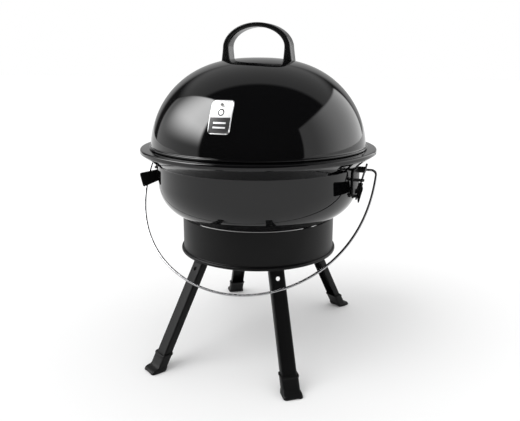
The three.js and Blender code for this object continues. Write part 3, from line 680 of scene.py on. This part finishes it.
# ---- Side brackets ------------------------------------------------------------------------------
# A curved steel plate riveted to each side of the wall. It carries the boss that the bail turns in, and
# two lugs that hold the latch wire. Plate, boss and lugs are welded and painted together.
gap = 0.3 * mm
pivot_height = rim_top - 28 * mm
bracket_inner = bowl_radius + gap
bracket_outer = bracket_inner + 2 * mm
bracket_low = rim_top - 66 * mm
bracket_high = collar_foot - 2.5 * mm
bracket_front, bracket_back = -28 * mm, 10 * mm
latch_x = bracket_outer + 5.5 * mm
latch_y = -22 * mm
latch_tilt = math.radians(14)
paddle_height = rim_top - 51 * mm
lug_thick = 3 * mm
lug_heights = (paddle_height + 10.2 * mm, paddle_height - 10.2 * mm - lug_thick)
latch_wire = 1.4 * mm
bail_wire = 1.8 * mm


def pressed(name, outline, profile, onto, crease=35):
    """A plate: each row of the grid is the outline drawn in towards its middle to a share, at a height above
    the plate's datum, and onto() bends the flat points to their place."""
    outline = np.asarray(outline)
    middle = (outline.min(0) + outline.max(0)) / 2
    share, height = np.asarray(profile, float).T
    flat = middle + share[:, None, None] * (outline - middle)
    return skin(name, onto(flat, np.repeat(height[:, None], len(outline), 1)), crease=crease)


def plate_profile(low, high, edge=0.3 * mm, span=20 * mm, rings=9):
    """Shares and heights of a flat plate with rounded edges, from one face's middle round to the other's."""
    inner = 1 - edge / span
    shares = np.linspace(0, inner, rings)
    return np.concatenate([
        np.column_stack([shares, np.full(rings, low)]), [(1, low + edge), (1, high - edge)],
        np.column_stack([shares[::-1], np.full(rings, high)])])


def on_wall(side):
    """Bends (toward the back, height) onto the wall: x is the root of (radius + height)^2 - y^2."""
    return lambda flat, out: np.stack(
        [side * np.sqrt((bowl_radius + out) ** 2 - flat[..., 0] ** 2), flat[..., 0], flat[..., 1]], -1)


def latch_at(height):
    """The latch wire's distance from the middle at a height, as its top leans outwards."""
    return latch_x + (height - paddle_height) * math.tan(latch_tilt)


def latch_axis(side):
    """The frame of a latch wire: its origin is at the paddle's middle, and its Z runs up the wire."""
    return shift(side * latch_x, latch_y, paddle_height) @ spin(side * latch_tilt, "Y")


def flat_at(x=0.0, y=0.0, z=0.0):
    """Leaves a plate flat and level, shifted to a place."""
    return lambda flat, out: np.stack([flat[..., 0] + x, flat[..., 1] + y, out + z], -1)


bracket_corner = 5 * mm
bracket_outline = divided(rounded(oblong(bracket_front, bracket_low, bracket_back, bracket_high),
                                  bracket_corner, 8), 4)
bracket_finish = satin_paint("bracket_paint", 0.007, 900.0, 0.3)
rivet_places = [(4 * mm, bracket_low + 8 * mm), (-12 * mm, bracket_low + 8 * mm)]
rivet_finish = metal("steel_rivets", (0.55, 0.55, 0.55), 0.32)
hands = ((1, "right"), (-1, "left"))
boss_bore, boss_radius = bail_wire + gap, 4.5 * mm
boss_foot, boss_end = bowl_radius + 1.6 * mm, bracket_outer + 10 * mm
boss_profile = [(boss_bore, boss_foot), (boss_radius, boss_foot), (boss_radius, boss_end - 0.6 * mm),
                (boss_radius - 0.6 * mm, boss_end), (boss_bore, boss_end)]
for side, hand in hands:
    bracket = pressed(f"side_plate_{hand}", bracket_outline, plate_profile(gap, 2.3 * mm), on_wall(side))
    outward = Matrix.Scale(side, 4, (1, 0, 0)) @ spin(math.pi / 2, "Y")
    boss = turned("boss", boss_profile, 40, True)
    boss.data.transform(shift(z=pivot_height) @ outward)
    combine(bracket, boss, "UNION")
    for height in lug_heights:
        x_in, x_out = bracket_inner - 1 * mm, latch_at(height) + 4 * mm
        lug = rounded(oblong(side * x_in, latch_y - 4 * mm, side * x_out, latch_y + 4 * mm),
                      [0, 3.5 * mm, 3.5 * mm, 0], 8)
        lug = pressed("lug", lug, plate_profile(height, height + lug_thick, 0.3 * mm, 6 * mm, 2), flat_at())
        combine(lug, drums(latch_wire + gap, -30 * mm, 30 * mm, [(0, 0)], latch_axis(side), 24))
        combine(bracket, lug, "UNION")
    belongs(bracket, bracket_finish, "base", "satin_black", f"side_bracket_{hand}")
    for i, (y, z) in enumerate(rivet_places):
        face = math.sqrt(bracket_outer ** 2 - y ** 2) + gap
        spot = shift(side * face, y, z) @ spin(side * math.pi / 2, "Y")
        rivet = fastener(f"bracket_rivet_head_{hand}_{i + 1}", 2 * mm, 4 * mm, 1.8 * mm, 6 * mm, spot, False)
        belongs(rivet, rivet_finish, "base", "bright_steel", f"bracket_rivet_{hand}_{i + 1}")

# ---- Latch wires --------------------------------------------------------------------------------
# A dark steel wire stands in each bracket's two lugs as the paddle's hinge pin. It leans outwards, and
# its upper end is bent further out under the rim.


def wire(path, radius, across, sides=14):
    """A round wire along a flat path, with domed ends: near an end the row's size is the sine, and its
    distance from the tip the radius less the cosine, of a quarter turn."""
    path = np.asarray(path, float)
    quarter = np.linspace(0, math.pi / 2, 5)[:, None]

    def end(tip, following):
        along = (following - tip) / np.linalg.norm(following - tip)
        return tip + along * radius * (1 - np.cos(quarter))

    size = np.concatenate([np.sin(quarter[:, 0]), np.ones(len(path) - 2), np.sin(quarter[::-1, 0])])
    around = np.linspace(0, 2 * math.pi, sides, endpoint=False)
    section = radius * np.stack([np.cos(around), np.sin(around)], -1)
    full = np.concatenate([end(path[0], path[1]), path[1:-1], end(path[-1], path[-2])[::-1]])
    return carried(full, section, np.asarray(across, float), size)


dark_wire_finish = metal("dark_wire", (0.10, 0.10, 0.105), 0.34, (1, 1, 0.08), 500.0)
wire_low = lug_heights[1] - 4 * mm
wire_top = lug_heights[0] + lug_thick + 8 * mm
for side, hand in hands:
    bends = rounded([(latch_at(wire_low), wire_low), (latch_at(wire_top), wire_top),
                     (latch_at(wire_top) + 2.2 * mm, wire_top + 7 * mm),
                     (latch_at(wire_top) + 4 * mm, wire_top + 15 * mm)], [0, 5 * mm, 5 * mm, 0], 6, False)
    path = np.column_stack([side * bends[:, 0], np.full(len(bends), latch_y), bends[:, 1]])
    piece = skin(f"hinge_wire_{hand}", wire(path, latch_wire, (0, 1, 0)))
    belongs(piece, dark_wire_finish, "base", "dark_wire", f"latch_wire_{hand}")

# ---- Latch paddles ------------------------------------------------------------------------------
# Pressed steel tongues in black paint, each with its edge rolled into a sleeve on the latch wire. Both
# stand swung out from the wall, the left one a little further.
paddle_length = 39 * mm
paddle_thick = 1.6 * mm
sleeve_bore, sleeve_half = latch_wire + gap, 8 * mm
sleeve_profile = rounded(oblong(sleeve_bore, -sleeve_half, sleeve_bore + 1.6 * mm, sleeve_half), 0.4 * mm, 4)
paddle_open = {"right": 12, "left": -15}
paddle_inner, paddle_outer = 8.5 * mm, 11 * mm
paddle_outline = rounded([(0, -paddle_inner), (-paddle_length, -paddle_outer),
                          (-paddle_length, paddle_outer), (0, paddle_inner)],
                         [0.5 * mm, 3 * mm, 3 * mm, 0.5 * mm], 8)
paddle_finish = satin_paint("paddle_paint", 0.006, 1000.0, 0.42)
for side, hand in hands:
    tongue = pressed(f"paddle_tongue_{hand}", paddle_outline,
                     plate_profile(-paddle_thick / 2, paddle_thick / 2, 0.35 * mm, 14 * mm, 6),
                     lambda flat, out: np.stack([out, flat[..., 0], flat[..., 1]], -1))
    sleeve = turned("sleeve", sleeve_profile, 40)
    combine(tongue, sleeve, "UNION")
    combine(tongue, drums(sleeve_bore, -12 * mm, 12 * mm, [(0, 0)], None, 40))
    tongue.data.transform(latch_axis(side) @ spin(math.radians(paddle_open[hand]), "Z"))
    belongs(tongue, paddle_finish, f"latch_paddle_{hand}", "satin_black", f"latch_paddle_{hand}")

# ---- Bail ---------------------------------------------------------------------------------------
# One bent steel wire, the carrying handle. Its ends turn in the brackets' bosses, and it hangs forward,
# across the front legs.
bail_half = rim_radius + bail_wire + 1.3 * mm
bail_depth = 209 * mm
bail_lean = math.radians(39)
side_power, end_power = 1.95, 2.4
sweep = np.linspace(0.012, 1, 130) ** 0.9 * math.pi / 2
hanging = np.column_stack([bail_half * np.cos(sweep) ** (2 / side_power),
                           bail_depth * np.sin(sweep) ** (2 / end_power)])
hanging[-1, 0] = 0
corner = rounded([(bracket_inner + 3 * mm, 0), (bail_half, 0), hanging[hanging[:, 1] > 13 * mm][0]],
                 [0, 8 * mm, 0], 10, False)[:-1]
half_bail = np.concatenate([corner, hanging[hanging[:, 1] > 13 * mm]])
flat_bail = np.concatenate([half_bail, half_bail[-2::-1] * (-1, 1)])
lean_down = np.array([0, -math.sin(bail_lean), -math.cos(bail_lean)])
bail_path = flat_bail[:, :1] * np.array([1, 0, 0]) + flat_bail[:, 1:] * lean_down + (0, 0, pivot_height)
bail_finish = metal("bail_steel", (0.42, 0.42, 0.43), 0.2, (0.4, 1, 1), 420.0)
bail = skin("bail_wire", wire(bail_path, bail_wire, np.cross((1, 0, 0), lean_down), 18))
belongs(bail, bail_finish, "bail", "bright_steel", "bail")

# ---- Bottom damper ------------------------------------------------------------------------------
# An aluminium disc on a rivet under the bowl, with three holes like the bowl's, shut here. A tab bent
# down at the front turns it.
damper_thick = 1.2 * mm
bottom_face = bottom_height - gap
bottom_radius = 44 * mm
tab_width = 12 * mm
tab_drop = 14 * mm


def tab(path, width, thick=damper_thick):
    """The grid of a strip of sheet along a path in the YZ plane, bent with rounded corners."""
    section = rounded(oblong(0, -width / 2, thick, width / 2), thick * 0.3, 3)
    return carried(np.column_stack([np.zeros(len(path)), path]), section, (1, 0, 0))


def disc_profile(radius, low, high):
    """Radii and heights of a flat disc with a rounded rim."""
    return rounded(oblong(0, low, radius, high), [0, 0.5 * mm, 0.5 * mm, 0], 4, False)


aluminium_finish = metal("spun_aluminium", (0.74, 0.745, 0.75), 0.36, (1, 0.05, 1), 260.0, 0.08)
tab_path = rounded([(-bottom_radius + 6 * mm, bottom_face), (-bottom_radius - 14 * mm, bottom_face),
                    (-bottom_radius - 14 * mm, bottom_face - tab_drop)], [0, 2 * mm, 0], 6, False)
bottom_disc = turned("bottom_damper_disc",
                     disc_profile(bottom_radius, bottom_face - damper_thick, bottom_face), 96, False)
combine(bottom_disc, skin("tab", tab(tab_path, tab_width)), "UNION")
combine(bottom_disc, drums(air_hole, bottom_face - 5 * mm, bottom_face + 5 * mm, round_axis(air_pitch, 60)))
belongs(bottom_disc, aluminium_finish, "bottom_damper", "aluminium", "bottom_damper")
bottom_rivet = fastener("bottom_damper_pin", pin_radius, 2 * pin_radius, 2 * mm, 5 * mm,
                        shift(z=bottom_face - damper_thick - gap)
                        @ spin(math.pi, "X"), False)
belongs(bottom_rivet, rivet_finish, "base", "bright_steel", "bottom_damper_rivet")

# ---- Grates -------------------------------------------------------------------------------------
# Round steel rods welded across a hoop, with two cross rods. The cooking grate is nickel plated and
# lies on three supports, and the dark charcoal grate lies on the bowl's dish.
rod_radius = 1.5 * mm
hoop_radius = 2 * mm


def grate_grids(radius, height, pitch, cross_at, cross_step):
    """A hoop, parallel rods whose half length is the root of radius^2 - x^2, and two cross rods."""
    around = np.linspace(0, 2 * math.pi, 12, endpoint=False)
    hoop = turning(np.column_stack([radius + hoop_radius * np.cos(around),
                                    height + hoop_radius * np.sin(around)]), 128)
    hoop = np.concatenate([hoop, hoop[:1]])
    places = pitch * np.arange(-((radius - 3 * mm) // pitch), (radius - 3 * mm) // pitch + 1)
    rods = []
    for x in places:
        half = math.sqrt(radius ** 2 - x ** 2)
        rods.append(wire([(x, -half, height), (x, half, height)], rod_radius, (0, 0, 1), 12))
    half = math.sqrt(radius ** 2 - cross_at ** 2)
    level = height + cross_step
    for y in (-cross_at, cross_at):
        rods.append(wire([(-half, y, level), (half, y, level)], rod_radius, (0, 0, 1), 12))
    return hoop, rods


nickel_finish = metal("nickel_rods", (0.66, 0.64, 0.61), 0.22, (1, 0.04, 1), 300.0)
grate_radius = bowl_radius - 8 * mm
grate_height = rim_top - 26 * mm
charcoal_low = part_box("charcoal_grate")[0]
charcoal_radius = 98 * mm
for name, node, finish, slot, sizes in (
        ("cooking_grate_rods", "cooking_grate", nickel_finish, "bright_steel",
         (grate_radius, grate_height, 15 * mm, grate_radius * 0.42, -2.4 * mm)),
        ("charcoal_grate_rods", "charcoal_grate", dark_wire_finish, "dark_wire",
         (charcoal_radius, charcoal_low.z + hoop_radius, 20 * mm, charcoal_radius * 0.4, 2.4 * mm))):
    hoop, rods = grate_grids(*sizes)
    belongs(skin(name, hoop, *rods), finish, node, slot, node)

# ---- Grate supports -----------------------------------------------------------------------------
# Three small steel angles spot welded inside the wall, under the cooking grate's hoop.
support_width, support_drop = 14 * mm, 14 * mm
support_reach, support_thick = 9 * mm, 2 * mm
for i, bearing in enumerate((90, 210, 330)):
    low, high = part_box(f"grate_support_{i + 1}")
    face = bowl_radius - sheet - 0.95 * mm
    top = high.z
    tip, flange, under = face - support_reach, face - support_thick, top - support_thick
    angle_iron = rounded([(face, top), (tip, top), (tip, under), (flange, under),
                          (flange, top - support_drop), (face, top - support_drop)],
                         [1.5 * mm, 0.5 * mm, 0.5 * mm, 0.7 * mm, 0.5 * mm, 0.5 * mm], 5)
    rows = np.stack([np.column_stack([angle_iron[:, 0], np.full(len(angle_iron), y), angle_iron[:, 1]])
                     for y in (-support_width / 2, support_width / 2)])
    support = skin(f"support_angle_{i + 1}", moved(rows, spin(math.radians(bearing), "Z")))
    belongs(support, nickel_finish, "base", "bright_steel", f"grate_support_{i + 1}")

# ---- Lid ----------------------------------------------------------------------------------------
# One deep-drawn steel dome in black gloss enamel, with its edge rolled into a bead. At the back a flat
# pad is pressed out for the damper, with three air holes.
lid_base = rim_top + gap
lid_rise = 128 * mm
lid_side, lid_top = 2.45, 1.87
damper_reach = 104 * mm


def dome_height(radius, grow=0.0):
    """Height of the dome over its base: (r / radius) ^ side + (z / rise) ^ top = 1, solved for z."""
    return (lid_rise + grow) * (1 - np.clip(radius / (lid_radius + grow), 0, 1) ** lid_side) ** (1 / lid_top)


def dome_radius(height, grow=0.0):
    """The same curve solved for the radius at a height over the base."""
    return (lid_radius + grow) * (1 - np.clip(height / (lid_rise + grow), 0, 1) ** lid_top) ** (1 / lid_side)


def dome_curve(grow, lowest):
    """The dome from its apex down to a height over its base, by an angle: r goes by its sine to 2 / side
    and z by its cosine to 2 / top."""
    t = np.linspace(0, 1, 900) ** 1.1 * math.pi / 2
    curve = np.column_stack([(lid_radius + grow) * np.sin(t) ** (2 / lid_side),
                             (lid_rise + grow) * np.cos(t) ** (2 / lid_top)])
    return curve[curve[:, 1] > lowest]


def spaced(curve, count, dense=(0, 0), emphasis=1.0):
    """Points along a curve at even steps of its length, closer together where its radius is in dense."""
    middles = (curve[1:, 0] + curve[:-1, 0]) / 2
    steps = np.linalg.norm(np.diff(curve, axis=0), axis=1)
    steps *= np.where((middles > dense[0]) & (middles < dense[1]), emphasis, 1.0)
    along = np.concatenate([[0], np.cumsum(steps)])
    at = np.linspace(0, along[-1], count)
    return np.column_stack([np.interp(at, along, curve[:, 0]), np.interp(at, along, curve[:, 1])])


damper_slope = math.atan2(dome_height(damper_reach - mm) - dome_height(damper_reach + mm), 2 * mm)
damper_place = (shift(0, damper_reach, lid_base + dome_height(damper_reach))
                @ spin(-damper_slope, "X"))
pad_radius = 36.5 * mm
pad_rise = 1.2 * mm


def with_pad(points, rise):
    """Presses the pad out of the dome: in the damper's frame a point's height goes over to the pad's
    height by a smooth step of its distance from the damper's axis."""
    local = moved(points, damper_place.inverted())
    share = np.clip((pad_radius + 2 * mm - np.hypot(local[..., 0], local[..., 1])) / (4 * mm), 0, 1)
    share = share * share * (3 - 2 * share) * (local[..., 2] > -20 * mm)
    local[..., 2] += share * (rise - local[..., 2])
    return moved(local, damper_place)


edge_height = 5 * mm
pad_zone = (62 * mm, 146 * mm)
lid_edge = rounded([
    (dome_radius(edge_height), edge_height), (dome_radius(3.6 * mm) + 0.3 * mm, 3.6 * mm),
    (lid_radius + 2.3 * mm, 3 * mm), (lid_radius + 2.3 * mm, 0), (lid_radius - sheet, 0),
    (dome_radius(edge_height, -sheet), edge_height)],
    [0, 0.8 * mm, 1.3 * mm, 1.3 * mm, 0.4 * mm, 0], 8, False)
lid_outer = spaced(dome_curve(0.0, edge_height * 1.05), 110, pad_zone, 2.2)
lid_inner = spaced(dome_curve(-sheet, edge_height * 1.05), 64, pad_zone, 2.2)[::-1]
turn = np.linspace(-1, 1, 320, endpoint=False)
lid_angle = math.pi / 2 + math.pi * turn * (0.35 + 0.65 * turn ** 2)


def round_dome(profile):
    """A profile turned round Z with its steps closer together at the back, where the pad is."""
    return np.stack([np.outer(profile[:, 0], np.cos(lid_angle)), np.outer(profile[:, 0], np.sin(lid_angle)),
                     np.repeat(profile[:, 1:] + lid_base, len(lid_angle), 1)], -1)


lid = skin("lid_shell", np.concatenate([with_pad(round_dome(lid_outer), pad_rise), round_dome(lid_edge),
                                        with_pad(round_dome(lid_inner), pad_rise - sheet)]))
lid_hole = 8 * mm
lid_pitch = 19 * mm
combine(lid, drums(lid_hole, -6 * mm, 6 * mm, round_axis(lid_pitch), damper_place))
lid_finish = enamel("lid_enamel", 0.0018, 0.035)
belongs(lid, lid_finish, "lid", "black_enamel", "lid")

# ---- Lid handle ---------------------------------------------------------------------------------
# An upright arch moulded in black plastic: a half ellipse on two short legs, thinnest at its top. Its feet
# are shaped to the dome and screwed from inside the lid.
handle_half = 54 * mm
handle_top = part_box("lid_handle")[1].z
foot_thick = 14 * mm
shoulder_thick = 9.5 * mm
bar_thick = 6.5 * mm
handle_depth = 24 * mm
handle_spread = 2.5 * mm
handle_arch = 36 * mm
foot_level = lid_base + dome_height(handle_half)
spring_level = handle_top - handle_arch
arch_half = handle_half - handle_spread
half_turn = np.linspace(math.pi, 0, 120)
loop = np.concatenate([
    [(-handle_half, foot_level)],
    np.column_stack([arch_half * np.cos(half_turn), spring_level + handle_arch * np.sin(half_turn)]),
    [(handle_half, foot_level)]])
loop = spaced(loop, 96)
loop_thick = np.interp(loop[:, 1], [foot_level, spring_level, handle_top],
                       [foot_thick, shoulder_thick, bar_thick])
around = np.linspace(0, 2 * math.pi, 56, endpoint=False)
bar_u = 0.5 + 0.5 * signed_power(np.cos(around), 2 / 5.5)
bar_v = signed_power(np.sin(around), 2 / 7.5) * handle_depth / 2
loop_section = np.stack([loop_thick[:, None] * bar_u, np.repeat(bar_v[None], len(loop), 0)], -1)
loop_path = np.column_stack([loop[:, 0], np.zeros(len(loop)), loop[:, 1]])
handle_grid = carried(loop_path, loop_section, (0, 1, 0))
for row in (0, -1):
    seat = dome_height(np.hypot(handle_grid[row, :, 0], handle_grid[row, :, 1]), gap)
    handle_grid[row, :, 2] = lid_base + seat
handle = skin("handle_loop", handle_grid, crease=40)
handle_finish = moulded_plastic("handle_plastic", 0.004, 0.16, 1800.0, 0.5)
belongs(handle, handle_finish, "lid", "black_plastic", "lid_handle")
for side, hand in hands:
    x = side * (handle_half - foot_thick / 2)
    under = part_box(f"handle_screw_{hand}")[0].z + 2.5 * mm
    screw = fastener(f"handle_fixing_{hand}", screw_radius, 4.5 * mm, 2.5 * mm, 21 * mm,
                     shift(x, 0, under) @ spin(math.pi, "X"))
    belongs(screw, screw_finish, "lid", "bright_steel", f"handle_screw_{hand}")

# ---- Badge --------------------------------------------------------------------------------------
# A thin stamped plate bent to the dome's front and held by one rivet: a raised silver border, a silver
# upper half with a plain ring and a dark lower half with two plain bars.
badge_half_width = 15 * mm
badge_half_height = 20.5 * mm
badge_corner = 5 * mm
badge_middle = rim_top + 55 * mm
badge_thick = 1.4 * mm
border = 1.1 * mm


def on_dome(flat, out):
    """Bends (across, height) onto the dome's front, a distance outside it."""
    radius = dome_radius(flat[..., 1] - lid_base, out)
    return np.stack([flat[..., 0], -np.sqrt(radius ** 2 - flat[..., 0] ** 2), flat[..., 1]], -1)


badge_bottom, badge_top = badge_middle - badge_half_height, badge_middle + badge_half_height
badge_outline = divided(rounded(oblong(-badge_half_width, badge_bottom, badge_half_width, badge_top),
                                badge_corner, 10), 3)
inner_shares = np.linspace(0, 0.92, 12)
badge_face = badge_thick + gap
badge_profile = np.concatenate([
    np.column_stack([np.linspace(0, 0.985, 12), np.full(12, gap)]),
    [(1, gap + 0.2 * mm), (1, badge_face - 0.3 * mm), (0.985, badge_face), (0.945, badge_face)],
    np.column_stack([inner_shares[::-1], np.full(12, badge_face - 0.3 * mm)])])
badge = pressed("badge_plate", badge_outline, badge_profile, on_dome)
badge_finish, badge_shader, root = new_finish("badge_silver")
place = root.node("ShaderNodeTexCoord", output="Object")
split = root.node("ShaderNodeSeparateXYZ", (), {"Vector": place}, "X")
height = Signal(split.tree, split.socket.node.outputs["Z"])
from_border = (abs(split) * -1 + (badge_half_width - border)) * 1000
from_ends = (abs(height - badge_middle) * -1 + (badge_half_height - border)) * 1000
in_field = (from_border > 0) * (from_ends > 0)
lower = (height < badge_middle) * in_field
ring_centre = badge_middle + 6 * mm
bar_centre = badge_middle - 9.5 * mm
from_ring = root.node("ShaderNodeVectorMath", {"operation": "LENGTH"}, {
    0: root.node("ShaderNodeCombineXYZ", (), {"X": split, "Y": height - ring_centre})}, "Value")
ring_mark = abs(from_ring - 3.6 * mm) < 0.9 * mm
bars = (abs(abs(height - bar_centre) - 2.8 * mm) < 1.0 * mm) * (abs(split) < 8.5 * mm)
ink = lower * (bars * -1 + 1) + ring_mark
ink = root.node("ShaderNodeClamp", (), {"Value": ink})
brushed = noise(root.node("ShaderNodeMapping", (), {"Vector": place, "Scale": (0.03, 1, 1)}), 1500.0, 2.0)
silver = blend(brushed, (0.78, 0.78, 0.79), (0.93, 0.93, 0.94))
colour = blend(ink, silver, (0.02, 0.019, 0.02))
feed(badge_shader, Base_Color=colour, Roughness=brushed * 0.15 + 0.3, Metallic=(ink * -1 + 1) * 0.55)
belongs(badge, badge_finish, "lid", "silver_badge", "badge")
rivet_z = badge_middle + badge_half_height - 5 * mm
rivet_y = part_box("badge_rivet")[0].y + 0.8 * mm
badge_rivet = fastener("badge_rivet_head", 1.2 * mm, 2.4 * mm, 0.8 * mm, 3.5 * mm,
                       shift(0, rivet_y, rivet_z) @ spin(math.pi / 2, "X"), False)
belongs(badge_rivet, rivet_finish, "lid", "bright_steel", "badge_rivet")

# ---- Lid damper ---------------------------------------------------------------------------------
# An aluminium disc on a rivet through the pad, with an upright tab at its edge. Its holes are turned
# away from the lid's, so it is shut.
lid_damper_radius = 33 * mm
disc_low = pad_rise + gap
damper = turned("lid_damper_disc", disc_profile(lid_damper_radius, disc_low, disc_low + damper_thick),
                96, False)
upright = rounded([(lid_damper_radius - 16 * mm, disc_low), (lid_damper_radius - 5 * mm, disc_low),
                   (lid_damper_radius - 5 * mm, disc_low + tab_drop)], [0, 2 * mm, 0], 6, False)
combine(damper, skin("tab", tab(upright[::-1], tab_width)), "UNION")
combine(damper, drums(lid_hole, -2 * mm, 9 * mm, round_axis(lid_pitch, 60)))
damper.data.transform(damper_place)
belongs(damper, aluminium_finish, "lid_damper", "aluminium", "lid_damper")
damper_rivet = fastener("lid_damper_pin", pin_radius, 2 * pin_radius, 2 * mm, 6 * mm,
                        damper_place @ shift(z=disc_low + damper_thick + gap), False)
belongs(damper_rivet, rivet_finish, "lid", "bright_steel", "lid_damper_rivet")
